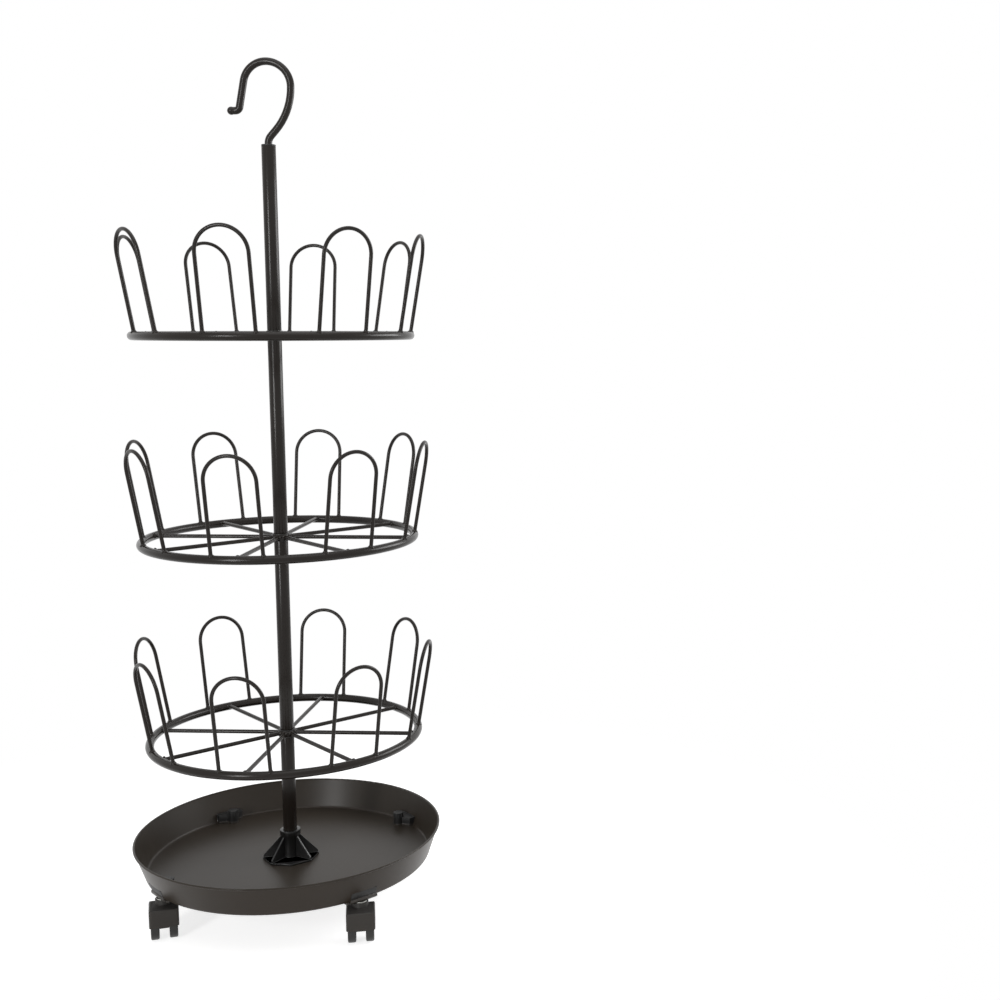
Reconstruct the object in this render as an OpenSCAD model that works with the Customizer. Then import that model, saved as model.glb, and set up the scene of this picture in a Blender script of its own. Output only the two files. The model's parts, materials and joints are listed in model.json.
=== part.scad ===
// Rotating shoe tower: a round tray on four casters, an upright pole and three wire tiers that turn on it.
// The origin is on the floor under the pole's axis, +Z is up and the front is -Y.
// Angles round the pole are counted from the front towards +X.

/* [Tray] */
// Diameter over the rolled rim
tray_rim_d = 422; // [340:1:500]
// Distance by which the rim stands out past the corner between floor and wall
tray_flare = 16; // [10:1:24]
// Height from the underside to the top of the rim
tray_h = 43.2; // [30:0.1:60]
// Thickness of the sheet
tray_sheet = 1.2; // [0.8:0.1:2]
// Outside radius of the bend between floor and wall
tray_bend_r = 5; // [4:0.5:12]
// Diameter of the rolled rim
tray_bead_d = 3; // [2.6:0.2:5]
// Height of the wall slots above the tray's floor
slot_h = 12.3; // [8:0.1:20]
// Distance by which the slots reach into the flat floor
slot_reach = 2; // [1.5:0.5:4]

/* [Pole socket] */
// Thickness of the many-sided foot
socket_foot_t = 2.5; // [2:0.5:5]
// Distance from the axis to the corners of the foot
socket_tip_r = 39; // [30:1:60]
// Outside diameter of the sleeve
socket_sleeve_d = 24; // [22:0.5:30]
// Outside diameter of the collar
socket_collar_d = 28.5; // [26:0.5:36]
// Height of the collar
socket_collar_h = 8; // [4:1:15]
// Height of the ribs from the foot to the collar
socket_rib_h = 29.8; // [20:0.1:50]
// Thickness of a rib
socket_rib_t = 2.5; // [2:0.5:4]
// Height of a rib's edge at its tip
socket_tip_h = 3; // [1:0.5:6]
// Number of corners of the foot, each with a rib but the one at the front and the one at the back
socket_corners = 8; // [4:2:12]
// Turn of the ribs from the front
socket_turn = 17.5; // [0:0.5:45]

/* [Anchor] */
// Diameter of the anchor bolt
bolt_d = 8; // [6:1:10]
// Distance across the corners of the bolt's head
bolt_head_d = 15; // [12:0.5:18]
// Height of the bolt's head
bolt_head_h = 5.3; // [4:0.1:7]
// Length of the bolt in the pole's lower plug
bolt_grip = 22; // [15:1:24]
// Diameter of the washer under the tray
washer_d = 28; // [20:1:40]
// Thickness of the washer
washer_t = 1.5; // [1:0.5:3]

/* [Pole] */
// Outside diameter of the tubes
tube_d = 19; // [17:0.5:22]
// Wall of the tubes
tube_wall = 1; // [0.8:0.1:1.5]
// Length of the lower tube
lower_tube_h = 175.2; // [140:0.1:260]
// Length of each tube between two tiers
mid_tube_h = 269.8; // [220:0.1:340]
// Length of the upper tube
upper_tube_h = 246.8; // [180:0.1:320]
// Length of the plugs in the tubes' lower ends
plug_h = 25; // [25:1:40]
// Depth of a joiner in the tube below it
spigot_h = 25; // [15:1:40]
// Length of a joiner's stud in the plug above it
stud_h = 20; // [10:1:24]
// Diameter of a joiner's stud
stud_d = 12; // [8:0.5:12]

/* [Tiers] */
// Diameter of the ring to the middle of its rod
ring_d = 366; // [340:1:380]
// Diameter of the ring's rod
ring_rod_d = 11.5; // [10:0.5:14]
// Diameter of a spoke
spoke_d = 5.5; // [4:0.5:7]
// Height of the spokes above the middle of the ring's rod
spoke_rise = 1.5; // [0:0.1:2]
// Outside diameter of the hub
hub_d = 24; // [23:0.5:30]
// Height of the hub
hub_h = 8; // [7:0.5:14]
// Diameter of the journal that a tier turns on
journal_d = 15; // [13.5:0.1:15.5]
// Outside diameter of a bush in the hub
bush_d = 19; // [17.5:0.5:20]
// Thickness of a bush's flange
bush_flange_t = 1; // [0.8:0.1:2]
// Diameter of a bush's flange
bush_flange_d = 23; // [21:0.5:24]

/* [Loops] */
// Number of loops and of spokes on a tier
loop_count = 8; // [6:1:9]
// Diameter of the loop wire
loop_rod_d = 5; // [4:0.5:6]
// Distance between the legs of a loop, between their middles
loop_w = 67; // [50:1:80]
// Length of the legs from the middle of the ring's rod to the arch
loop_leg_h = 102.5; // [60:0.5:140]
// Outward lean of the loops
loop_lean = 10; // [0:0.5:15]

/* [Hook] */
// Diameter of the hook's rod
hook_rod_d = 10; // [8:0.5:11]
// Depth of the hook's shank in its plug
hook_shank_h = 17; // [10:1:19]
// Straight length of the hook above the plug
hook_rise_h = 1.5; // [1:0.5:10]
// Radius of the bend that leads off the pole's axis
hook_lead_r = 15; // [12:1:20]
// Angle of that bend
hook_lead_angle = 42; // [30:1:50]
// Straight length after that bend
hook_slant_h = 10; // [4:1:20]
// Radius of the wide bend at the back of the hook
hook_back_r = 85.5; // [60:0.5:100]
// Radius of the bend from the back to the crown
hook_crown_r = 33; // [28:1:40]
// Radius of the bend from the crown down to the front
hook_front_r = 31; // [28:1:40]
// Angle of the bend from the crown down to the front
hook_front_angle = 79; // [70:1:88]
// Straight length of the hook's front
hook_front_h = 35; // [20:1:45]
// Radius of the bend that turns the tip outwards
hook_tip_r = 6; // [6:0.5:12]
// Angle of that bend
hook_tip_angle = 78.5; // [50:0.5:90]
// Straight length of the tip
hook_tip_h = 5.5; // [3:0.5:12]
// Diameter of the ball on the tip
hook_ball_d = 11; // [10:0.5:14]
// Depth of the hook's plug in the upper tube
hook_plug_h = 20; // [20:1:40]
// Thickness of the plug's cap over the tube's end
hook_cap_t = 2; // [1:0.5:4]

/* [Caster brackets] */
// Distance from the tray's corner in to a caster's stem
caster_set_in = 7; // [6.5:0.5:10]
// Thickness of the bracket's leaves
clip_t = 3; // [2:0.5:4]
// Width of the bracket's lower leaf
clip_w = 46; // [40:1:60]
// Width of the bend and of the tongue that passes through the tray's slot
tongue_w = 36; // [24:1:38]
// Distance from the tray's corner in to the middle of the bracket's bend
clip_tuck = 2; // [1.5:0.5:2.5]
// Length from the outside of the bracket to the inner end of the tongue
tongue_l = 25; // [22:1:40]
// Length from the outside of the bracket to the inner end of the lower leaf
leaf_l = 30; // [26:1:40]
// Distance from a knob's axis to the caster's stem
knob_set_in = 8; // [7:0.5:9]
// Diameter of a clamp knob
knob_d = 15; // [12:0.5:20]
// Height of a clamp knob
knob_h = 16; // [10:1:20]
// Diameter of a knob's screw
knob_screw_d = 5; // [4:0.5:6]
// Number of grip flutes round a knob
knob_flutes = 10; // [6:1:12]
// Radius of a grip flute
knob_flute_r = 1.2; // [0.8:0.1:1.5]

/* [Casters] */
// Diameter of a wheel
wheel_d = 35; // [32:0.5:36]
// Width of a wheel
wheel_w = 10.8; // [8:0.1:12]
// Radius of the wheel's tread corners
wheel_corner_r = 2; // [1:0.5:4]
// Diameter of the recess in a wheel's outer face
wheel_recess_d = 26; // [14:1:30]
// Depth of that recess
wheel_recess_h = 1.6; // [1.5:0.1:4]
// Diameter of the axle
axle_d = 5; // [4:0.5:6]
// Diameter of the axle's riveted heads
axle_head_d = 8.4; // [7:0.2:12]
// Thickness of those heads
axle_head_t = 1.2; // [0.8:0.1:1.3]
// Distance by which the axle trails the stem
trail = 8; // [4:0.5:12]
// Length of the hood along the rolling direction
hood_l = 38; // [38:0.5:44]
// Height of the hood
hood_h = 24; // [20:0.5:30]
// Height of the hood's lower edge above the axle
hood_over_axle = 4.5; // [4.5:0.5:8]
// Wall of the hood
hood_wall = 1.5; // [1:0.1:1.5]
// Thickness of the hood's roof
hood_roof_t = 2.5; // [1.5:0.5:4]
// Radius of the hood's upright corners
hood_corner_r = 4; // [2:0.5:6]
// Radius of the hood's top edges
hood_top_r = 3; // [1:0.5:5]
// Width of the web between the wheels
web_w = 12; // [12:0.5:16]
// Radius of the web round the axle
web_axle_r = 4.5; // [4:0.5:5]
// Diameter of the neck on top of the hood
neck_d = 21; // [14:0.5:21.5]
// Height of the neck
neck_h = 6; // [3:0.5:12]
// Diameter of the stem
stem_d = 8; // [7:0.5:8]
// Length of the stem below its flange
stem_h = 21.3; // [16:0.1:24]
// Diameter of the stem's flange
stem_flange_d = 18; // [14:0.5:24]
// Thickness of the stem's flange
stem_flange_t = 1.2; // [1:0.1:3]
// Thickness of the clip that holds the hood on the stem
clip_ring_t = 1.2; // [0.8:0.1:1.4]
// Distance from the stem's end to that clip
clip_ring_up = 2; // [1.5:0.5:4]
// Depth of the grooves for that clip in the stem and in the hood
groove_depth = 0.8; // [0.6:0.1:1]
// Turn of the front left caster
front_left_turn = 22; // [-180:0.5:180]
// Turn of the front right caster
front_right_turn = 13.5; // [-180:0.5:180]
// Turn of the back right caster
back_right_turn = 16; // [-180:0.5:180]
// Turn of the back left caster
back_left_turn = 16; // [-180:0.5:180]

/* [Fits] */
// Radial clearance between fixed pieces
fixed_fit = 0.02; // [0.01:0.01:0.1]
// Radial clearance between pieces that turn
running_fit = 0.05; // [0.02:0.01:0.1]
// Radial clearance of a screw hole
hole_fit = 0.3; // [0.1:0.1:0.5]
// End play between flat faces that turn past each other
end_play = 0.2; // [0.1:0.05:0.4]
// Gap between moving pieces that carry no load on each other
free_gap = 0.3; // [0.2:0.05:0.5]
// Clearance between the tongue and each side of its slot
slot_gap = 1; // [0.5:0.5:2]

/* [Hidden] */
$fn = 72;
// Overrun of every cut past the face that it opens
overrun = 1;
// Straight steps in the section of the tray's bend
tray_bend_steps = 8;
// Sides of the hook's rod, the angle between its rings in a bend, and the rings of the ball on its tip
rod_sides = 24;
bend_step_angle = 5;
ball_rings = 8;
ball_end_angle = 172;

// Places of the four casters round the pole, and their turns at rest
front_left = 0;
front_right = 1;
back_right = 2;
back_left = 3;
caster_angles = [-45, 45, 135, 225];
caster_turns = [front_left_turn, front_right_turn, back_right_turn, back_left_turn];

// Heights from the floor up to the tray
axle_z = wheel_d / 2;
hood_base_z = axle_z + hood_over_axle;
hood_top_z = hood_base_z + hood_h;
neck_top_z = hood_top_z + neck_h;
flange_z = neck_top_z + free_gap;
clip_base_z = flange_z + stem_flange_t;
tray_z = clip_base_z + clip_t;
tray_floor_z = tray_z + tray_sheet;
tongue_top_z = tray_floor_z + clip_t;

// Outline of the tray, from the corner line to the middle of the rolled rim
tray_corner_r = tray_rim_d / 2 - tray_flare;
tray_bead_r = tray_bead_d / 2;
bead_place_r = tray_rim_d / 2 - tray_bead_r;
bead_place_h = tray_h - tray_bead_r;
wall_turn = atan2(bead_place_h, bead_place_r - tray_corner_r);
bend_tangent = tray_bend_r * tan(wall_turn / 2);
tray_flat_r = tray_corner_r - bend_tangent;

// Pole socket and pole
pole_base_z = tray_floor_z + socket_foot_t;
socket_collar_z = pole_base_z + socket_rib_h;
socket_rib_end_r = socket_tip_r - socket_rib_t / 2;
socket_rib_top_r = socket_collar_d / 2 - socket_rib_t / 2;
socket_rib_in_r = (tube_d + socket_sleeve_d) / 4;
tube_in_d = tube_d - 2 * tube_wall;
stack_h = hub_h + 2 * bush_flange_t + end_play;
tier_pitch = mid_tube_h + stack_h;
hub_z = [for (k = [0:2]) pole_base_z + lower_tube_h + stack_h / 2 + k * tier_pitch];
joint_low_z = [for (z = hub_z) z - stack_h / 2];
joint_high_z = [for (z = hub_z) z + stack_h / 2];
upper_tube_top_z = joint_high_z[2] + upper_tube_h;
pole_top_z = upper_tube_top_z + hook_cap_t;

// Tiers
ring_r = ring_d / 2;
hub_wall_r = (hub_d + bush_d) / 4;
loop_arch_r = loop_w / 2;
loop_foot_r = sqrt(ring_r * ring_r - loop_arch_r * loop_arch_r);
bottom = 0;
middle = 1;
top = 2;

// Casters and brackets
wheel_in_x = web_w / 2 + free_gap;
wheel_out_x = wheel_in_x + wheel_w;
hood_in_w = 2 * (wheel_out_x + free_gap);
hood_w = hood_in_w + 2 * hood_wall;
axle_half = wheel_out_x - wheel_recess_h + end_play;
stem_end_z = flange_z - stem_h;
stem_bore_z = stem_end_z - free_gap;
boss_base_z = stem_bore_z - hood_wall;
clip_ring_z = stem_end_z + clip_ring_up;
caster_r = tray_corner_r - caster_set_in;
knob_r = caster_r - knob_set_in;
clip_bend_r = clip_t + tray_sheet / 2;
clip_bend_place_r = tray_corner_r - clip_tuck;
clamp_end_r = clip_bend_place_r + clip_t;
clamp_top_z = tray_floor_z + slot_h - slot_gap;

steel_black = [0.17, 0.16, 0.155];
tray_black = [0.3, 0.29, 0.28];
plastic_black = [0.09, 0.09, 0.09];
hood_grey = [0.2, 0.2, 0.21];
zinc = [0.62, 0.62, 0.6];
nylon = [0.78, 0.77, 0.72];

// Children at an angle round the pole and a distance from its axis, with outwards as -Y
module round_pole(angle, r) {
    rotate([0, 0, angle])
        translate([0, -r, 0])
            children();
}

// Children at a caster's stem, turned as that caster stands
module at_caster(i) {
    round_pole(caster_angles[i], caster_r)
        rotate([0, 0, caster_turns[i] - caster_angles[i]])
            children();
}

// Plate across a radius: the children's x is the distance outwards and their y the height
module radial_plate(thickness) {
    rotate([90, 0, -90])
        linear_extrude(height = thickness, center = true)
            children();
}

// Flat box outline with round corners, centred
module round_rect(w, l, r) {
    square([w - 2 * r, l], center = true);
    square([w, l - 2 * r], center = true);
    for (x = [r - w / 2, w / 2 - r], y = [r - l / 2, l / 2 - r])
        translate([x, y])
            circle(r = r);
}

// Tube between two heights
module tube(low_z, high_z, outer_d, inner_d) {
    difference() {
        translate([0, 0, low_z])
            cylinder(h = high_z - low_z, d = outer_d);
        translate([0, 0, low_z - overrun])
            cylinder(h = high_z - low_z + 2 * overrun, d = inner_d);
    }
}

// Section of the tray's sheet: flat floor, bend and straight wall
module tray_outline() {
    bend_place = [tray_flat_r, tray_bend_r];
    wall_end = [bead_place_r, bead_place_h];
    headings = [for (j = [0:tray_bend_steps]) j * wall_turn / tray_bend_steps];
    polygon(concat(
        [[0, 0]],
        [for (t = headings) bend_place + tray_bend_r * [sin(t), -cos(t)]],
        [wall_end, wall_end + tray_sheet * [-sin(wall_turn), cos(wall_turn)]],
        [
            for (j = [tray_bend_steps:-1:0])
                let (t = headings[j])
                bend_place + (tray_bend_r - tray_sheet) * [sin(t), -cos(t)]
        ],
        [[0, tray_sheet]]
    ));
}

// Spun sheet with a flared wall, a rolled rim, and a slot and a screw hole at each caster
module tray() {
    color(tray_black)
        difference() {
            translate([0, 0, tray_z])
                rotate_extrude() {
                    tray_outline();
                    translate([bead_place_r, bead_place_h])
                        circle(r = tray_bead_r);
                }
            translate([0, 0, tray_z - overrun])
                cylinder(h = tray_sheet + 2 * overrun, d = bolt_d + 2 * hole_fit);
            for (angle = caster_angles) {
                round_pole(angle, knob_r)
                    translate([0, 0, tray_z - overrun])
                        cylinder(h = tray_sheet + 2 * overrun, d = knob_screw_d + 2 * hole_fit);
                round_pole(angle, 0)
                    radial_plate(tongue_w + 2 * slot_gap)
                        translate([tray_flat_r - slot_reach, tray_z - overrun])
                            square([tray_rim_d / 2, tray_sheet + slot_h + overrun]);
            }
        }
}

// Moulded piece that holds the pole upright: many-sided foot, sleeve, collar and ribs
module pole_socket() {
    color(plastic_black)
        difference() {
            union() {
                rotate([0, 0, socket_turn - 90])
                    translate([0, 0, tray_floor_z])
                        cylinder(h = socket_foot_t, r = socket_tip_r, $fn = socket_corners);
                translate([0, 0, tray_floor_z + socket_foot_t / 2])
                    cylinder(h = socket_foot_t / 2 + socket_rib_h, d = socket_sleeve_d);
                translate([0, 0, socket_collar_z])
                    cylinder(h = socket_collar_h, d = socket_collar_d);
                for (side = [0, 180], k = [1:socket_corners / 2 - 1])
                    rotate([0, 0, socket_turn + side + k * 360 / socket_corners])
                        radial_plate(socket_rib_t)
                            translate([0, tray_floor_z])
                                polygon([
                                    [socket_rib_in_r, socket_foot_t / 2],
                                    [socket_rib_end_r, socket_foot_t / 2],
                                    [socket_rib_end_r, socket_foot_t + socket_tip_h],
                                    [socket_rib_top_r, socket_foot_t + socket_rib_h],
                                    [socket_rib_in_r, socket_foot_t + socket_rib_h]
                                ]);
            }
            translate([0, 0, pole_base_z])
                cylinder(h = socket_rib_h + socket_collar_h + overrun, d = tube_d + 2 * fixed_fit);
            translate([0, 0, tray_floor_z - overrun])
                cylinder(h = socket_foot_t + 2 * overrun, d = bolt_d + 2 * hole_fit);
        }
}

// Hexagon bolt that draws the pole down on the tray
module anchor_bolt() {
    head_z = tray_z - washer_t - bolt_head_h;
    color(zinc) {
        translate([0, 0, head_z])
            cylinder(h = bolt_head_h, d = bolt_head_d, $fn = 6);
        translate([0, 0, head_z])
            cylinder(h = pole_base_z + bolt_grip - head_z, d = bolt_d);
    }
}

module anchor_washer() {
    color(zinc)
        tube(tray_z - washer_t, tray_z, washer_d, bolt_d + 2 * hole_fit);
}

module pole_lower() {
    color(steel_black)
        tube(pole_base_z, joint_low_z[bottom], tube_d, tube_in_d);
}

module pole_mid_low() {
    color(steel_black)
        tube(joint_high_z[bottom], joint_low_z[middle], tube_d, tube_in_d);
}

module pole_mid_high() {
    color(steel_black)
        tube(joint_high_z[middle], joint_low_z[top], tube_d, tube_in_d);
}

module pole_upper() {
    color(steel_black)
        tube(joint_high_z[top], upper_tube_top_z, tube_d, tube_in_d);
}

// Plug pressed in a tube's lower end, with a threaded hole
module tube_plug(low_z, thread_d) {
    color(plastic_black)
        tube(low_z, low_z + plug_h, tube_in_d - 2 * fixed_fit, thread_d + 2 * fixed_fit);
}

// Turned piece between two tubes: spigot below, journal for the tier, threaded stud above
module joiner(k) {
    color(zinc)
        translate([0, 0, joint_low_z[k]]) {
            translate([0, 0, -spigot_h])
                cylinder(h = spigot_h, d = tube_in_d - 2 * fixed_fit);
            cylinder(h = stack_h, d = journal_d);
            translate([0, 0, stack_h])
                cylinder(h = stud_h, d = stud_d);
        }
}

// Place and heading [x, z, angle from upright] after a straight length, and after a bend
// A positive bend angle turns towards +X
function after_straight(p, length) = [p[0] + length * sin(p[2]), p[1] + length * cos(p[2]), p[2]];
function after_bend(p, r, angle) =
    let (side = sign(angle), end_angle = p[2] + angle)
    [
        p[0] + side * r * (cos(p[2]) - cos(end_angle)),
        p[1] + side * r * (sin(end_angle) - sin(p[2])),
        end_angle
    ];

// Place and heading where step i of a run begins; a step is [straight length, bend radius, bend angle]
function step_start(steps, i) =
    i == 0 ? [0, 0, 0] :
    let (s = steps[i - 1])
    after_bend(after_straight(step_start(steps, i - 1), s[0]), s[1], s[2]);

// Places along a run: both ends of each straight length, and every few degrees of each bend
function run_places(steps) = [
    [0, 0, 0],
    for (i = [0:len(steps) - 1])
        let (
            s = steps[i],
            p = after_straight(step_start(steps, i), s[0]),
            n = ceil(abs(s[2]) / bend_step_angle)
        )
        for (j = [s[0] > 0 ? 0 : 1:n])
            after_bend(p, s[1], s[2] * j / n)
];

// Round rod through rings [place, radius], closed by a flat face at each end
module swept_rod(rings) {
    last = len(rings) - 1;
    points = [
        for (ring = rings, j = [0:rod_sides - 1])
            let (p = ring[0], t = j * 360 / rod_sides)
            [
                p[0] + ring[1] * cos(t) * cos(p[2]),
                ring[1] * sin(t),
                p[1] - ring[1] * cos(t) * sin(p[2])
            ]
    ];
    faces = [
        [for (j = [0:rod_sides - 1]) j],
        [for (j = [0:rod_sides - 1]) (last + 1) * rod_sides - 1 - j],
        for (k = [0:last - 1], j = [0:rod_sides - 1])
            let (
                a = k * rod_sides + j,
                b = k * rod_sides + (j + 1) % rod_sides
            )
            for (face = [[a, a + rod_sides, b], [b, a + rod_sides, b + rod_sides]])
                face
    ];
    polyhedron(points, faces);
}

// Bent rod with a ball on its tip
module hook() {
    steps = [
        [hook_shank_h + hook_rise_h, hook_lead_r, hook_lead_angle],
        [hook_slant_h, hook_back_r, -hook_lead_angle],
        [0, hook_crown_r, -90],
        [0, hook_front_r, -hook_front_angle],
        [hook_front_h, hook_tip_r, hook_tip_angle]
    ];
    tip = step_start(steps, len(steps));
    ball_r = hook_ball_d / 2;
    ball_start = asin(hook_rod_d / hook_ball_d);
    ball_step = (ball_end_angle - ball_start) / ball_rings;
    rod = [for (p = run_places(steps)) [p, hook_rod_d / 2]];
    ball = [
        for (j = [0:ball_rings])
            let (t = ball_start + j * ball_step)
            [after_straight(tip, hook_tip_h - ball_r * cos(t)), ball_r * sin(t)]
    ];
    color(steel_black)
        translate([0, 0, pole_top_z - hook_shank_h])
            swept_rod(concat(rod, ball));
}

// Capped plug in the pole's top end that holds the hook's shank
module hook_plug() {
    color(plastic_black)
        translate([0, 0, upper_tube_top_z])
            difference() {
                union() {
                    translate([0, 0, -hook_plug_h])
                        cylinder(h = hook_plug_h, d = tube_in_d - 2 * fixed_fit);
                    cylinder(h = hook_cap_t, d = tube_d);
                }
                translate([0, 0, hook_cap_t - hook_shank_h])
                    cylinder(h = hook_shank_h + overrun, d = hook_rod_d + 2 * fixed_fit);
            }
}

module ring_rod(k) {
    translate([0, 0, hub_z[k] - spoke_rise])
        rotate_extrude()
            translate([ring_r, 0])
                circle(d = ring_rod_d);
}

module tier_ring(k) {
    color(steel_black)
        ring_rod(k);
}

module tier_hub(k) {
    color(steel_black)
        tube(hub_z[k] - hub_h / 2, hub_z[k] + hub_h / 2, hub_d, bush_d + 2 * fixed_fit);
}

// Straight rods from the hub to the ring, their ends shaped to both
module tier_spokes(k) {
    color(steel_black)
        difference() {
            for (j = [0:loop_count - 1])
                rotate([0, 0, j * 360 / loop_count])
                    translate([0, 0, hub_z[k]])
                        rotate([90, 0, 0])
                            translate([0, 0, hub_wall_r])
                                cylinder(h = ring_r - hub_wall_r, d = spoke_d);
            translate([0, 0, hub_z[k] - hub_h])
                cylinder(h = 2 * hub_h, d = hub_d);
            ring_rod(k);
        }
}

// Upright wire loops that stand on the ring and lean outwards, their feet shaped to it
module tier_loops(k) {
    color(steel_black)
        difference() {
            for (j = [0:loop_count - 1])
                round_pole(j * 360 / loop_count, loop_foot_r)
                    translate([0, 0, hub_z[k] - spoke_rise])
                        rotate([loop_lean, 0, 0]) {
                            for (x = [-loop_arch_r, loop_arch_r])
                                translate([x, 0, 0])
                                    cylinder(h = loop_leg_h, d = loop_rod_d);
                            translate([0, 0, loop_leg_h])
                                rotate([90, 0, 0])
                                    rotate_extrude(angle = 180)
                                        translate([loop_arch_r, 0])
                                            circle(d = loop_rod_d);
                        }
            ring_rod(k);
        }
}

// Two flanged bushes, one from above and one from below
module tier_bushes(k) {
    body_h = hub_h / 2 - end_play / 2;
    color(nylon)
        for (side = [-1, 1])
            translate([0, 0, hub_z[k]])
                rotate([side > 0 ? 0 : 180, 0, 0])
                    difference() {
                        union() {
                            translate([0, 0, hub_h / 2 - body_h])
                                cylinder(h = body_h, d = bush_d);
                            translate([0, 0, hub_h / 2])
                                cylinder(h = bush_flange_t, d = bush_flange_d);
                        }
                        cylinder(h = hub_h, d = journal_d + 2 * running_fit);
                    }
}

// Flat leaf of a bracket from the bend inwards, with its lower face at a height from the bend's middle
module clip_leaf(length, low_y) {
    translate([clip_bend_r - length, low_y])
        square([length - clip_bend_r, clip_t]);
}

// Outline of a clamp from above, and of the tongue under it: round the knob's axis and out to the slot
module clamp_outline() {
    reach = clamp_end_r - knob_r;
    circle(d = knob_d);
    polygon([
        [-knob_screw_d, 0],
        [-tongue_w / 2, -reach / 2],
        [-tongue_w / 2, -reach],
        [tongue_w / 2, -reach],
        [tongue_w / 2, -reach / 2],
        [knob_screw_d, 0]
    ]);
}

// Bent clip round the edge of the tray's floor: tongue above, leaf below
module caster_bracket(i) {
    screw_hole_d = knob_screw_d + 2 * fixed_fit;
    color(tray_black)
        round_pole(caster_angles[i], 0)
            difference() {
                translate([0, -clip_bend_place_r, clip_base_z + clip_bend_r]) {
                    radial_plate(clip_w)
                        clip_leaf(leaf_l, -clip_bend_r);
                    intersection() {
                        radial_plate(tongue_w)
                            clip_leaf(tongue_l, tray_sheet / 2);
                        translate([0, clip_bend_place_r - knob_r, 0])
                            linear_extrude(height = 2 * clip_bend_r)
                                clamp_outline();
                    }
                    radial_plate(tongue_w) {
                        clip_leaf(clip_bend_r + clip_t, -clip_bend_r);
                        intersection() {
                            difference() {
                                circle(r = clip_bend_r);
                                circle(r = tray_sheet / 2);
                            }
                            translate([0, -clip_bend_r])
                                square([clip_bend_r, 2 * clip_bend_r]);
                        }
                    }
                }
                translate([0, -knob_r, clip_base_z - overrun])
                    cylinder(h = tongue_top_z - clip_base_z + 2 * overrun, d = screw_hole_d);
                translate([0, -caster_r, clip_base_z - overrun])
                    cylinder(h = clip_t + 2 * overrun, d = stem_d + 2 * fixed_fit);
            }
}

// Clamps with a fluted knob, a screw that holds the bracket to the tray, and a block that fills the slot
module clamp_knobs() {
    block_h = clamp_top_z - tongue_top_z;
    color(plastic_black)
        for (angle = caster_angles)
            round_pole(angle, knob_r)
                translate([0, 0, tongue_top_z]) {
                    linear_extrude(height = block_h)
                        clamp_outline();
                    difference() {
                        cylinder(h = knob_h, d = knob_d);
                        for (j = [0:knob_flutes - 1])
                            rotate([0, 0, j * 360 / knob_flutes])
                                translate([knob_d / 2 + knob_flute_r / 2, 0, block_h + free_gap])
                                    cylinder(h = knob_h, r = knob_flute_r);
                    }
                    translate([0, 0, clip_base_z + free_gap - tongue_top_z])
                        cylinder(h = tongue_top_z - clip_base_z, d = knob_screw_d);
                }
}

// Stem riveted in the bracket's leaf, with a flange below it and a groove near its end
module caster_stem(i) {
    groove_z = clip_ring_z - free_gap / 2;
    color(zinc)
        at_caster(i) {
            difference() {
                translate([0, 0, stem_end_z])
                    cylinder(h = tray_z - stem_end_z, d = stem_d);
                tube(groove_z, groove_z + clip_ring_t + free_gap, stem_d + overrun, stem_d - 2 * groove_depth);
            }
            translate([0, 0, flange_z])
                cylinder(h = stem_flange_t, d = stem_flange_d);
        }
}

// Clips in the grooves of the four stems
module stem_clips() {
    inner_d = stem_d - 2 * groove_depth + 2 * running_fit;
    outer_d = stem_d + 2 * groove_depth;
    color(zinc)
        for (i = [front_left:back_left])
            at_caster(i)
                tube(clip_ring_z, clip_ring_z + clip_ring_t, outer_d, inner_d);
}

// Side outline of the web between the wheels: round the axle, and up to the roof
module web_outline() {
    translate([trail, axle_z])
        circle(r = web_axle_r);
    translate([trail - web_axle_r, axle_z])
        square([2 * web_axle_r, hood_top_z - hood_roof_t / 2 - axle_z]);
    translate([0, boss_base_z])
        square([trail, hood_top_z - hood_roof_t / 2 - boss_base_z]);
}

// Moulded hood over both wheels, with the neck that turns on the stem and the web that holds the axle
module caster_hood(i) {
    groove_z = clip_ring_z - free_gap;
    color(hood_grey)
        at_caster(i)
            difference() {
                union() {
                    translate([0, -trail, hood_base_z])
                        difference() {
                            intersection() {
                                linear_extrude(height = hood_h)
                                    round_rect(hood_w, hood_l, hood_corner_r);
                                rotate([90, 0, 0])
                                    linear_extrude(height = hood_l + 2 * overrun, center = true)
                                        round_rect(hood_w, 2 * hood_h, hood_top_r);
                                radial_plate(hood_w + 2 * overrun)
                                    round_rect(hood_l, 2 * hood_h, hood_top_r);
                            }
                            translate([0, 0, -overrun])
                                linear_extrude(height = hood_h - hood_roof_t + overrun)
                                    round_rect(hood_in_w, hood_l - 2 * hood_wall, hood_corner_r - hood_wall);
                        }
                    radial_plate(web_w)
                        web_outline();
                    translate([0, 0, boss_base_z])
                        cylinder(h = hood_top_z - hood_roof_t / 2 - boss_base_z, d = web_w);
                    translate([0, 0, hood_top_z - hood_roof_t / 2])
                        cylinder(h = neck_h + hood_roof_t / 2, d = neck_d);
                }
                translate([0, 0, stem_bore_z])
                    cylinder(h = neck_top_z - stem_bore_z + overrun, d = stem_d + 2 * running_fit);
                translate([0, 0, groove_z])
                    cylinder(h = clip_ring_t + 2 * free_gap, d = stem_d + 2 * groove_depth + 2 * free_gap);
                translate([0, -trail, axle_z])
                    rotate([0, 90, 0])
                        cylinder(h = web_w + 2 * overrun, d = axle_d + 2 * fixed_fit, center = true);
            }
}

// Axle held in the web, with a riveted head at each end
module caster_axle(i) {
    color(zinc)
        at_caster(i)
            translate([0, -trail, axle_z])
                rotate([0, 90, 0]) {
                    cylinder(h = 2 * axle_half, d = axle_d, center = true);
                    for (side = [-1, 1])
                        translate([0, 0, side * (axle_half + axle_head_t / 2)])
                            cylinder(h = axle_head_t, d = axle_head_d, center = true);
                }
}

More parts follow.
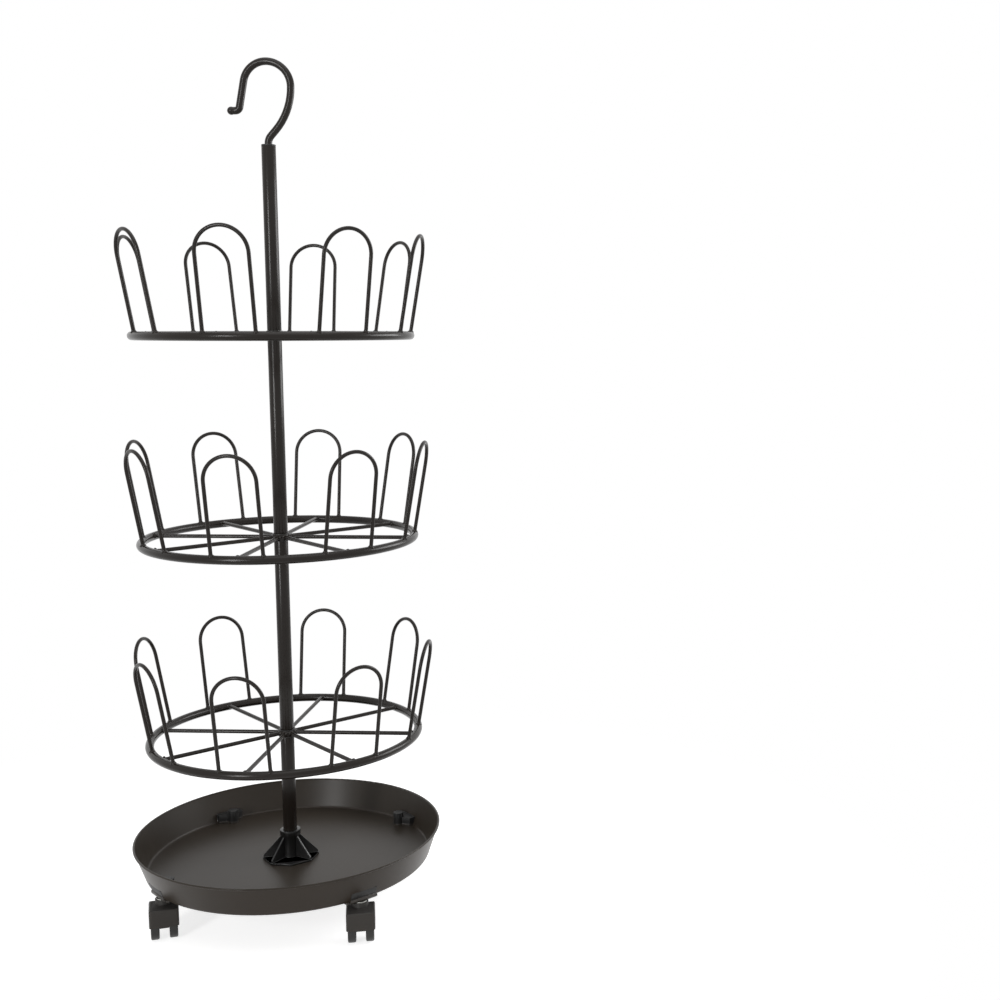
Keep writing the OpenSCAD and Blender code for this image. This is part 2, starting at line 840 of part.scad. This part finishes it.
// One-piece wheel with round tread corners and a recess for the axle's head
module caster_wheel(i, side) {
    bore_r = axle_d / 2 + running_fit;
    tread_r = wheel_d / 2 - wheel_corner_r;
    color(plastic_black)
        at_caster(i)
            translate([side * wheel_in_x, -trail, axle_z])
                rotate([0, side * 90, 0])
                    rotate_extrude() {
                        translate([bore_r, 0])
                            square([tread_r - bore_r, wheel_w - wheel_recess_h]);
                        translate([wheel_recess_d / 2, 0])
                            square([tread_r - wheel_recess_d / 2, wheel_w]);
                        translate([tread_r, wheel_corner_r])
                            square([wheel_corner_r, wheel_w - 2 * wheel_corner_r]);
                        for (y = [wheel_corner_r, wheel_w - wheel_corner_r])
                            translate([tread_r, y])
                                circle(r = wheel_corner_r);
                    }
}

tray();
pole_socket();
anchor_bolt();
anchor_washer();
pole_lower();
pole_mid_low();
pole_mid_high();
pole_upper();
tube_plug(pole_base_z, bolt_d);  // pole_foot_plug
tube_plug(joint_high_z[bottom], stud_d);  // pole_mid_low_plug
tube_plug(joint_high_z[middle], stud_d);  // pole_mid_high_plug
tube_plug(joint_high_z[top], stud_d);  // pole_upper_plug
joiner(bottom);  // bottom_joiner
joiner(middle);  // middle_joiner
joiner(top);  // top_joiner
hook();
hook_plug();
tier_ring(bottom);  // bottom_ring
tier_hub(bottom);  // bottom_hub
tier_spokes(bottom);  // bottom_spokes
tier_loops(bottom);  // bottom_loops
tier_bushes(bottom);  // bottom_bushes
tier_ring(middle);  // middle_ring
tier_hub(middle);  // middle_hub
tier_spokes(middle);  // middle_spokes
tier_loops(middle);  // middle_loops
tier_bushes(middle);  // middle_bushes
tier_ring(top);  // top_ring
tier_hub(top);  // top_hub
tier_spokes(top);  // top_spokes
tier_loops(top);  // top_loops
tier_bushes(top);  // top_bushes
caster_bracket(front_left);  // front_left_bracket
caster_bracket(front_right);  // front_right_bracket
caster_bracket(back_right);  // back_right_bracket
caster_bracket(back_left);  // back_left_bracket
clamp_knobs();
caster_stem(front_left);  // front_left_stem
caster_stem(front_right);  // front_right_stem
caster_stem(back_right);  // back_right_stem
caster_stem(back_left);  // back_left_stem
stem_clips();
caster_hood(front_left);  // front_left_hood
caster_hood(front_right);  // front_right_hood
caster_hood(back_right);  // back_right_hood
caster_hood(back_left);  // back_left_hood
caster_axle(front_left);  // front_left_axle
caster_axle(front_right);  // front_right_axle
caster_axle(back_right);  // back_right_axle
caster_axle(back_left);  // back_left_axle
caster_wheel(front_left, -1);  // front_left_wheel_a
caster_wheel(front_left, 1);  // front_left_wheel_b
caster_wheel(front_right, -1);  // front_right_wheel_a
caster_wheel(front_right, 1);  // front_right_wheel_b
caster_wheel(back_right, -1);  // back_right_wheel_a
caster_wheel(back_right, 1);  // back_right_wheel_b
caster_wheel(back_left, -1);  // back_left_wheel_a
caster_wheel(back_left, 1);  // back_left_wheel_b
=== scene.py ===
import json
import math

import bmesh
import bpy
from mathutils import Matrix, Vector

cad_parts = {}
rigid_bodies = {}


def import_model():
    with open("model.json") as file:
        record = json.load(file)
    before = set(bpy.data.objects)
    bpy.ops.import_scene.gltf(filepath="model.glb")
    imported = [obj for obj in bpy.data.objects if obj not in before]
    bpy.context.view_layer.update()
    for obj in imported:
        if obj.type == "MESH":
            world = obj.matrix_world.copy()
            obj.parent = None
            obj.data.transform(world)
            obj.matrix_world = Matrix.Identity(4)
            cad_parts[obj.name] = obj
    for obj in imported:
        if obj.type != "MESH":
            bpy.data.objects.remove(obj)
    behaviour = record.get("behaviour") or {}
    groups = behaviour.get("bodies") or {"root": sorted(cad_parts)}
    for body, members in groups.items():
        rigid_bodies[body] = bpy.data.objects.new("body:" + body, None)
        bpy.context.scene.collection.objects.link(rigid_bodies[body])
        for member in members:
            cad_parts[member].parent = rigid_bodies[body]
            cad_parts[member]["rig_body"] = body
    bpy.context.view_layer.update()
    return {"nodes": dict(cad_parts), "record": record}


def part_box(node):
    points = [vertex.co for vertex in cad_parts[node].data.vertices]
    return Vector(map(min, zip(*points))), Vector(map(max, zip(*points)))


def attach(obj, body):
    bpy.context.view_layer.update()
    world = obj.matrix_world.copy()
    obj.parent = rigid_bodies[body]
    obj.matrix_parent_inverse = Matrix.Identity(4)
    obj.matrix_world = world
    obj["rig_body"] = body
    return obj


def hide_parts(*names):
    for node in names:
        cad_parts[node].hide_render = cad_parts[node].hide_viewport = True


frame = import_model()


# Tray
# A round dish spun from 1.2 mm steel sheet, with a flared wall and a rolled rim.
# Satin black powder coat with a fine orange peel, a little greyer than the frame's. Its colour has a warm
# brown tint, which is a painted reflection of a wooden floor.
# Four slots in the wall let the casters' brackets in, and one bolt draws the pole down on its floor.
mm = 0.001
nodes = frame["nodes"]
# Near-black paint whose warm brown tint is a painted reflection of a wooden floor, not the paint's own
# colour.
tray_colour_with_painted_reflection = (0.034, 0.0275, 0.0212, 1)
tray_roughness = 0.34
paint_peel_per_metre = 900
paint_grain_per_metre = 3200
paint_cloud_per_metre = 9
peel_detail = 1.0
grain_detail = 3.0
cloud_shade = 0.2
grain_shade = 0.15
cloud_gloss = 0.12


def new_group(title, inputs, outputs):
    """An empty shader group with these inputs and outputs, each a name and a kind."""
    group = bpy.data.node_groups.new(title, "ShaderNodeTree")
    for side, sockets in (("INPUT", inputs), ("OUTPUT", outputs)):
        for name, kind in sockets:
            group.interface.new_socket(name, in_out=side, socket_type="NodeSocket" + kind)
    return group, group.nodes.new("NodeGroupInput"), group.nodes.new("NodeGroupOutput")


def plug_in(tree, socket, value):
    """Sets a socket to a number, or links another socket to it."""
    if isinstance(value, (int, float)):
        socket.default_value = value
    else:
        tree.links.new(value, socket)


def noise(tree, place, per_metre, detail):
    """Noise on the object's own coordinates."""
    node = tree.nodes.new("ShaderNodeTexNoise")
    node.inputs["Scale"].default_value = per_metre
    node.inputs["Detail"].default_value = detail
    tree.links.new(place, node.inputs["Vector"])
    return node.outputs["Fac"]


def between(tree, value, low, high, start=0.0, end=1.0):
    """A value spread from start..end to low..high."""
    node = tree.nodes.new("ShaderNodeMapRange")
    tree.links.new(value, node.inputs["Value"])
    plug_in(tree, node.inputs["From Min"], start)
    plug_in(tree, node.inputs["From Max"], end)
    plug_in(tree, node.inputs["To Min"], low)
    plug_in(tree, node.inputs["To Max"], high)
    return node.outputs["Result"]


def about_one(tree, value, spread):
    """A value from 0 to 1 made a factor that lies by up to a spread above or below 1."""
    return between(tree, value, 1 - spread, 1 + spread)


def maths(tree, operation, *values):
    """Numbers or sockets put through one operation."""
    node = tree.nodes.new("ShaderNodeMath")
    node.operation = operation
    for socket, value in zip(node.inputs, values):
        plug_in(tree, socket, value)
    return node.outputs[0]


def shaded(tree, colour, factor):
    """A colour made lighter or darker by a factor."""
    node = tree.nodes.new("ShaderNodeVectorMath")
    node.operation = "SCALE"
    tree.links.new(colour, node.inputs[0])
    tree.links.new(factor, node.inputs["Scale"])
    return node.outputs[0]


def effect_group(title, peel_per_metre, grain_per_metre, cloud_per_metre):
    """Rounded bumps, a fine grain and slow clouds, which vary a colour, its roughness and the relief."""
    group, given, made = new_group(
        title,
        [("Colour", "Color"), ("Roughness", "Float"), ("Grain", "Float")],
        [("Colour", "Color"), ("Roughness", "Float"), ("Height", "Float")],
    )
    place = group.nodes.new("ShaderNodeTexCoord").outputs["Object"]
    peel = noise(group, place, peel_per_metre, peel_detail)
    grain = noise(group, place, grain_per_metre, grain_detail)
    cloud = noise(group, place, cloud_per_metre, grain_detail)
    shade = maths(
        group, "MULTIPLY", about_one(group, cloud, cloud_shade), about_one(group, grain, grain_shade)
    )
    gloss = maths(group, "MULTIPLY", given.outputs["Roughness"], about_one(group, cloud, cloud_gloss))
    height = maths(group, "MULTIPLY_ADD", grain, given.outputs["Grain"], peel)
    group.links.new(shaded(group, given.outputs["Colour"], shade), made.inputs["Colour"])
    group.links.new(gloss, made.inputs["Roughness"])
    group.links.new(height, made.inputs["Height"])
    return group


def finish_of(title, group, colour, roughness, grain, relief, specular, metallic=0.0):
    """A material whose colour, roughness and relief (in metres) come from an effect group."""
    material = bpy.data.materials.new(title)
    material.use_nodes = True
    tree = material.node_tree
    shader = tree.nodes["Principled BSDF"]
    effect = tree.nodes.new("ShaderNodeGroup")
    effect.node_tree = group
    effect.inputs["Colour"].default_value = colour
    effect.inputs["Roughness"].default_value = roughness
    effect.inputs["Grain"].default_value = grain
    bump = tree.nodes.new("ShaderNodeBump")
    bump.inputs["Distance"].default_value = relief
    tree.links.new(effect.outputs["Height"], bump.inputs["Height"])
    tree.links.new(effect.outputs["Colour"], shader.inputs["Base Color"])
    tree.links.new(effect.outputs["Roughness"], shader.inputs["Roughness"])
    tree.links.new(bump.outputs["Normal"], shader.inputs["Normal"])
    shader.inputs["Specular IOR Level"].default_value = specular
    shader.inputs["Metallic"].default_value = metallic
    return material


def dress(material, *names):
    """Gives construction pieces their finish."""
    for name in names:
        for material_slot in nodes[name].material_slots:
            material_slot.material = material


powder_coat = effect_group("Powder coat", paint_peel_per_metre, paint_grain_per_metre, paint_cloud_per_metre)
tray_paint = finish_of(
    "Tray paint", powder_coat, tray_colour_with_painted_reflection, tray_roughness, grain=0.5, relief=0.02 * mm, specular=0.22
)
dress(tray_paint, "tray")


# Pole
# Four lengths of 19 mm steel tube, stacked with a joiner at each tier. Powder coat like the tray's,
# darker and glossier. Plugs in the tubes' lower ends take the joiners' studs and the foot's bolt.
frame_colour = (0.0165, 0.0128, 0.0102, 1)
frame_roughness = 0.24
tubes = ("pole_lower", "pole_mid_low", "pole_mid_high", "pole_upper")
tube_edge = 0.25 * mm
merge_distance = 0.002 * mm
flat_angle = math.radians(0.5)
crease_angle = math.radians(32)
body_of_node = {name: node["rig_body"] for name, node in nodes.items()}
slot_of_node = {row["node"]: row["material_slot"] for row in frame["record"]["subparts"]}


def new_piece(title, mesh, material, body, slot, *replaced):
    """A shown piece from a built mesh, smooth but for its creases, that rides on a body."""
    bmesh.ops.recalc_face_normals(mesh, faces=mesh.faces)
    for face in mesh.faces:
        face.smooth = True
    data = bpy.data.meshes.new(title)
    mesh.to_mesh(data)
    mesh.free()
    data.set_sharp_from_angle(angle=crease_angle)
    data.materials.append(material)
    piece = bpy.data.objects.new(title, data)
    bpy.context.scene.collection.objects.link(piece)
    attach(piece, body)
    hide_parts(*replaced)
    return piece


def softened(name, material, edge_radius, segments=2):
    """A copy of a construction piece with rounded edges, shown in its place."""
    mesh = bmesh.new()
    mesh.from_mesh(nodes[name].data)
    bmesh.ops.remove_doubles(mesh, verts=mesh.verts, dist=merge_distance)
    bmesh.ops.dissolve_limit(mesh, angle_limit=flat_angle, verts=mesh.verts, edges=mesh.edges)
    if edge_radius:
        sharp = [edge for edge in mesh.edges if edge.is_manifold and edge.calc_face_angle(0) > crease_angle]
        bmesh.ops.bevel(
            mesh, geom=sharp, offset=edge_radius, offset_type="OFFSET", affect="EDGES",
            segments=segments, profile=0.5, material=-1, clamp_overlap=True,
        )
    return new_piece(name + "_shown", mesh, material, body_of_node[name], slot_of_node[name], name)


frame_paint = finish_of(
    "Frame paint", powder_coat, frame_colour, frame_roughness, grain=0.25, relief=0.005 * mm, specular=0.24
)
for name in tubes:
    softened(name, frame_paint, tube_edge)


# Plugs and joiners
# Black moulded plugs pressed into the tubes, and zinc-plated joiners turned from steel,
# which hold two tubes together and which the tiers' bushes turn on.
plug_colour = (0.012, 0.012, 0.012, 1)
plug_roughness = 0.5
plastic_flow_per_metre = 260
plastic_spark_per_metre = 4200
plastic_cloud_per_metre = 16
zinc_colour = (0.56, 0.56, 0.53, 1)
zinc_roughness = 0.34
zinc_wave_per_metre = 480
zinc_spangle_per_metre = 5200
zinc_cloud_per_metre = 60

moulded_plastic = effect_group(
    "Moulded plastic", plastic_flow_per_metre, plastic_spark_per_metre, plastic_cloud_per_metre
)
zinc_plating = effect_group(
    "Zinc plating", zinc_wave_per_metre, zinc_spangle_per_metre, zinc_cloud_per_metre
)
plug_plastic = finish_of(
    "Plug plastic", moulded_plastic, plug_colour, plug_roughness, grain=0.7, relief=0.02 * mm, specular=0.4
)
zinc_steel = finish_of(
    "Zinc plated steel", zinc_plating, zinc_colour, zinc_roughness,
    grain=0.6, relief=0.01 * mm, specular=0.5, metallic=1.0,
)
dress(plug_plastic, "pole_foot_plug", "pole_mid_low_plug", "pole_mid_high_plug", "pole_upper_plug")
dress(zinc_steel, "bottom_joiner", "middle_joiner", "top_joiner")


# Anchor
# A zinc-plated hexagon bolt and a wide washer under the tray's floor.
# The bolt is screwed up into the pole's lowest plug and holds tray, socket and pole together.
bolt_edge = 0.4 * mm
washer_edge = 0.2 * mm

softened("anchor_bolt", zinc_steel, bolt_edge)
softened("anchor_washer", zinc_steel, washer_edge)


# Pole socket
# A moulded black foot with a sleeve, a collar and six ribs, that the pole stands in.
# Glossier than the other plastics, so that its ribs show light edges.
socket_colour = (0.006, 0.006, 0.006, 1)
socket_roughness = 0.3
socket_edge = 0.5 * mm

socket_plastic = finish_of(
    "Socket plastic", moulded_plastic, socket_colour, socket_roughness,
    grain=0.5, relief=0.02 * mm, specular=0.5,
)
softened("pole_socket", socket_plastic, socket_edge)


# Hook
# A bent 10 mm steel rod with a ball formed on its tip, coated as the frame.
# Its shank sits in a capped plastic plug in the pole's top end.
plug_edge = 0.4 * mm

softened("hook", frame_paint, 0)
softened("hook_plug", plug_plastic, plug_edge)


# Tier hubs and bushes
# A short steel sleeve in the middle of each tier, coated as the frame,
# with a dark nylon bush pressed in from each side, which turns on the joiner.
tiers = ("bottom", "middle", "top")
bush_colour = (0.022, 0.021, 0.020, 1)
bush_roughness = 0.42
hub_edge = 0.4 * mm
bush_edge = 0.15 * mm

bush_nylon = finish_of(
    "Bush nylon", moulded_plastic, bush_colour, bush_roughness, grain=0.5, relief=0.015 * mm, specular=0.45
)
for tier in tiers:
    softened(tier + "_hub", frame_paint, hub_edge)
    softened(tier + "_bushes", bush_nylon, bush_edge)


# Rings, spokes and loops
# Each tier is welded from bent wire: a ring of 11.5 mm rod, eight spokes and eight upright loops,
# then coated all at once.
for tier in tiers:
    dress(frame_paint, tier + "_ring", tier + "_spokes", tier + "_loops")


# Welds
# A low bead round each loop's foot and each spoke's two ends, coated with the tier.
# Each is a short profile spun round its wire and then made a little uneven.
loop_count = 8
loop_half_width = 33.5 * mm
loop_lean = math.radians(10)
loop_wire_r = 2.5 * mm
spoke_wire_r = 2.75 * mm
spoke_rise = 1.5 * mm
weld_sides = 20
weld_size = 1.3 * mm
weld_profile_shares = ((0.02, 1.6), (0.12, 1.05), (0.42, 0.5), (0.9, 0.12), (1.25, -0.3), (1.35, -0.9))
weld_unevenness = 0.12
weld_lobes = 3
weld_shift_per_metre = 40
upright = Vector((0, 0, 1))
full_turn = 2 * math.pi
quarter_turn = full_turn / 4


def bead(mesh, place, wire_r, base):
    """A weld bead spun about a wire along place's Z, standing on a surface at base."""
    earlier = set(mesh.verts)
    points = []
    for out, up in weld_profile_shares:
        points.append(mesh.verts.new((wire_r + out * weld_size, 0, base + up * weld_size)))
    lines = [mesh.edges.new(pair) for pair in zip(points, points[1:])]
    bmesh.ops.spin(
        mesh, geom=points + lines, cent=(0, 0, 0), axis=upright,
        angle=full_turn, steps=weld_sides, use_merge=True,
    )
    spun = [vertex for vertex in mesh.verts if vertex not in earlier]
    rims = {edge for vertex in spun for edge in vertex.link_edges if edge.is_boundary}
    bmesh.ops.holes_fill(mesh, edges=list(rims), sides=weld_sides)
    shift = weld_shift_per_metre * place.translation.x
    for vertex in spun:
        turn = math.atan2(vertex.co.y, vertex.co.x)
        swell = 1 + weld_unevenness * math.sin(weld_lobes * turn + shift)
        round_r = vertex.co.xy.length
        vertex.co.xy *= (wire_r + (round_r - wire_r) * swell) / round_r
    bmesh.ops.transform(mesh, matrix=place, verts=spun)


for tier in tiers:
    ring_low, ring_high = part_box(tier + "_ring")
    rod_r = (ring_high.z - ring_low.z) / 2
    ring_r = ring_high.x - rod_r
    ring_z = (ring_low.z + ring_high.z) / 2
    hub_low, hub_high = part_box(tier + "_hub")
    foot_r = math.sqrt(ring_r ** 2 - loop_half_width ** 2)
    leaning = Matrix.Rotation(loop_lean, 4, "X")
    inwards = Matrix.Rotation(-quarter_turn, 4, "X")
    outwards = Matrix.Rotation(quarter_turn, 4, "X")
    spoke_end = Vector((0, -ring_r, ring_z + spoke_rise))
    hub_end = Vector((0, 0, ring_z + spoke_rise))
    welds = bmesh.new()
    for k in range(loop_count):
        around = Matrix.Rotation(full_turn * k / loop_count, 4, "Z")
        for x in (-loop_half_width, loop_half_width):
            bead(welds, around @ Matrix.Translation((x, -foot_r, ring_z)) @ leaning, loop_wire_r, rod_r)
        rod_face = math.sqrt(rod_r ** 2 - spoke_rise ** 2)
        bead(welds, around @ Matrix.Translation(spoke_end) @ inwards, spoke_wire_r, rod_face)
        bead(welds, around @ Matrix.Translation(hub_end) @ outwards, spoke_wire_r, hub_high.x)
    new_piece(tier + "_welds", welds, frame_paint, tier + "_tier", "frame_paint")


# Caster brackets
# Strips bent from 3 mm steel, coated black, that reach through the tray's slots
# and clamp its floor between a leaf below, which holds the caster's stem, and a tongue above.
corners = {"front_left": -45, "front_right": 45, "back_right": 135, "back_left": 225}
bracket_colour = (0.030, 0.026, 0.022, 1)
bracket_roughness = 0.4
bracket_edge = 0.5 * mm
tongue_half_width = 18 * mm
block_end_r = 196 * mm
corner_start_r = 150 * mm
slot_spread = 0.9 * mm
wall_lean = 3.2 * mm


def fill_slot(piece, turn, edge, top=math.inf):
    """Spreads what stands in the slot at a turn to its edges, so that no line of light shows round it."""
    around = Matrix.Rotation(math.radians(turn), 4, "Z")
    back = around.inverted()
    for vertex in piece.data.vertices:
        place = back @ vertex.co
        if place.y < -corner_start_r:
            if tongue_half_width - edge < abs(place.x) + merge_distance < tongue_half_width + edge:
                place.x += math.copysign(slot_spread, place.x)
            if top - edge < place.z + merge_distance < top + edge:
                place.z += slot_spread
                if place.y < edge + merge_distance - block_end_r:
                    place.y -= wall_lean
            vertex.co = around @ place


bracket_paint = finish_of(
    "Bracket paint", powder_coat, bracket_colour, bracket_roughness,
    grain=0.5, relief=0.02 * mm, specular=0.42,
)
for corner, turn in corners.items():
    fill_slot(softened(corner + "_bracket", bracket_paint, bracket_edge), turn, bracket_edge)


# Clamp knobs
# Matt black mouldings, each with a fluted knob, a screw through the bracket's tongue
# and a block that reaches out from the knob and fills the tray's slot.
knob_colour = (0.010, 0.010, 0.010, 1)
knob_roughness = 0.5
knob_edge = 0.6 * mm
knob_edge_segments = 3
block_rise = 11.3 * mm

knob_plastic = finish_of(
    "Knob plastic", moulded_plastic, knob_colour, knob_roughness, grain=0.8, relief=0.03 * mm, specular=0.4
)
clamps = softened("clamp_knobs", knob_plastic, knob_edge, knob_edge_segments)
tray_floor_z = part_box("pole_socket")[0].z
for turn in corners.values():
    fill_slot(clamps, turn, knob_edge, tray_floor_z + block_rise)


# Caster hoods
# Matt dark grey mouldings over the two wheels of each caster,
# which swivel on zinc-plated stems and are held on them by spring clips.
hood_colour = (0.040, 0.0375, 0.035, 1)
hood_roughness = 0.48
hood_edge = 0.35 * mm

hood_plastic = finish_of(
    "Hood plastic", moulded_plastic, hood_colour, hood_roughness, grain=0.8, relief=0.03 * mm, specular=0.25
)
for corner in corners:
    softened(corner + "_hood", hood_plastic, hood_edge)
    dress(zinc_steel, corner + "_stem", corner + "_axle")
dress(zinc_steel, "stem_clips")


# Wheels
# One-piece black nylon wheels, two to a caster.
# They roll on the riveted steel axle that goes through the hood's web.
wheel_colour = (0.012, 0.012, 0.012, 1)
wheel_roughness = 0.42

wheel_nylon = finish_of(
    "Wheel nylon", moulded_plastic, wheel_colour, wheel_roughness, grain=0.6, relief=0.02 * mm, specular=0.42
)
for corner in corners:
    dress(wheel_nylon, corner + "_wheel_a", corner + "_wheel_b")


# Floor, light and camera
# A white floor that keeps the object's shadow and fades into a white surround, which lights more
# from behind than from in front. A broad lamp stands on the right, a narrower one in front on the left,
# and a large one hangs overhead.
white = (1, 1, 1, 1)
floor_half = 6
floor_fade_start = 0.3
floor_fade_end = 0.9
floor_grey = 0.82
floor_bounce = (0.60, 0.44, 0.31, 1)
floor_glow = 0.76
floor_roughness = 0.8
floor_specular = 0.2
surround_seen = 1.0
surround_front = 0.24
surround_behind = 1.35
surround_front_end = 0.2
surround_behind_start = 1.0
lamps = (
    # name, place, aim height, width, height, power
    ("right window", (1.65, 0.75, 1.1), 1.05, 1.1, 0.8, 17),
    ("left panel", (-1.1, -2.9, 1.12), 1.1, 0.5, 1.4, 38),
    ("overhead", (0.3, -0.6, 2.9), 0.2, 2.4, 2.4, 18),
)
camera_place = (0.5679, -1.8121, 0.8092)
camera_tilt = math.radians(83.36)
camera_turn = math.radians(1.98)
camera_lens = 47.85
camera_sensor = 36
camera_shift = (-0.1434, -0.0173)


def seen_rays(tree):
    """1 for what the camera sees, straight, mirrored or through something clear, and 0 for bounced light."""
    rays = tree.nodes.new("ShaderNodeLightPath").outputs
    indirect = maths(tree, "ADD", rays["Is Glossy Ray"], rays["Is Transmission Ray"])
    return maths(tree, "MINIMUM", maths(tree, "ADD", rays["Is Camera Ray"], indirect), 1.0)


floor = bpy.data.objects.new("floor", bpy.data.meshes.new("floor"))
bpy.context.scene.collection.objects.link(floor)
floor_mesh = bmesh.new()
bmesh.ops.create_grid(floor_mesh, x_segments=1, y_segments=1, size=floor_half)
floor_mesh.to_mesh(floor.data)
floor_mesh.free()
floor_paint = bpy.data.materials.new("Floor paint")
floor_paint.use_nodes = True
tree = floor_paint.node_tree
shader = tree.nodes["Principled BSDF"]
seen = seen_rays(tree)
tint = tree.nodes.new("ShaderNodeMix")
tint.data_type = "RGBA"
tint.inputs["A"].default_value = floor_bounce
tint.inputs["B"].default_value = (floor_grey, floor_grey, floor_grey, 1)
tree.links.new(seen, tint.inputs["Factor"])
tree.links.new(tint.outputs["Result"], shader.inputs["Base Color"])
shader.inputs["Emission Color"].default_value = white
tree.links.new(maths(tree, "MULTIPLY", seen, floor_glow), shader.inputs["Emission Strength"])
shader.inputs["Roughness"].default_value = floor_roughness
shader.inputs["Specular IOR Level"].default_value = floor_specular
distance = tree.nodes.new("ShaderNodeVectorMath")
distance.operation = "LENGTH"
tree.links.new(tree.nodes.new("ShaderNodeTexCoord").outputs["Object"], distance.inputs[0])
fade = between(tree, distance.outputs["Value"], 1.0, 0.0, floor_fade_start, floor_fade_end)
tree.links.new(fade, shader.inputs["Alpha"])
floor.data.materials.append(floor_paint)

world = bpy.data.worlds.new("Surround")
bpy.context.scene.world = world
world.use_nodes = True
tree = world.node_tree
background = tree.nodes["Background"].inputs
direction = tree.nodes.new("ShaderNodeSeparateXYZ")
tree.links.new(tree.nodes.new("ShaderNodeTexCoord").outputs["Generated"], direction.inputs[0])
lit = between(
    tree, direction.outputs["Y"], surround_front, surround_behind, surround_front_end, surround_behind_start
)
background["Color"].default_value = white
tree.links.new(between(tree, seen_rays(tree), lit, surround_seen), background["Strength"])

for title, place, aim_z, width, height, power in lamps:
    data = bpy.data.lights.new(title, "AREA")
    data.shape = "RECTANGLE"
    data.size = width
    data.size_y = height
    data.energy = power
    lamp = bpy.data.objects.new(title, data)
    bpy.context.scene.collection.objects.link(lamp)
    lamp.location = place
    lamp.rotation_euler = (Vector((0, 0, aim_z)) - Vector(place)).to_track_quat("-Z", "Y").to_euler()

camera = bpy.data.objects.new("camera", bpy.data.cameras.new("camera"))
bpy.context.scene.collection.objects.link(camera)
camera.location = camera_place
camera.rotation_euler = (camera_tilt, 0, camera_turn)
camera.data.lens = camera_lens
camera.data.sensor_width = camera_sensor
camera.data.shift_x, camera.data.shift_y = camera_shift
bpy.context.scene.camera = camera
bpy.context.scene.view_settings.view_transform = "Standard"
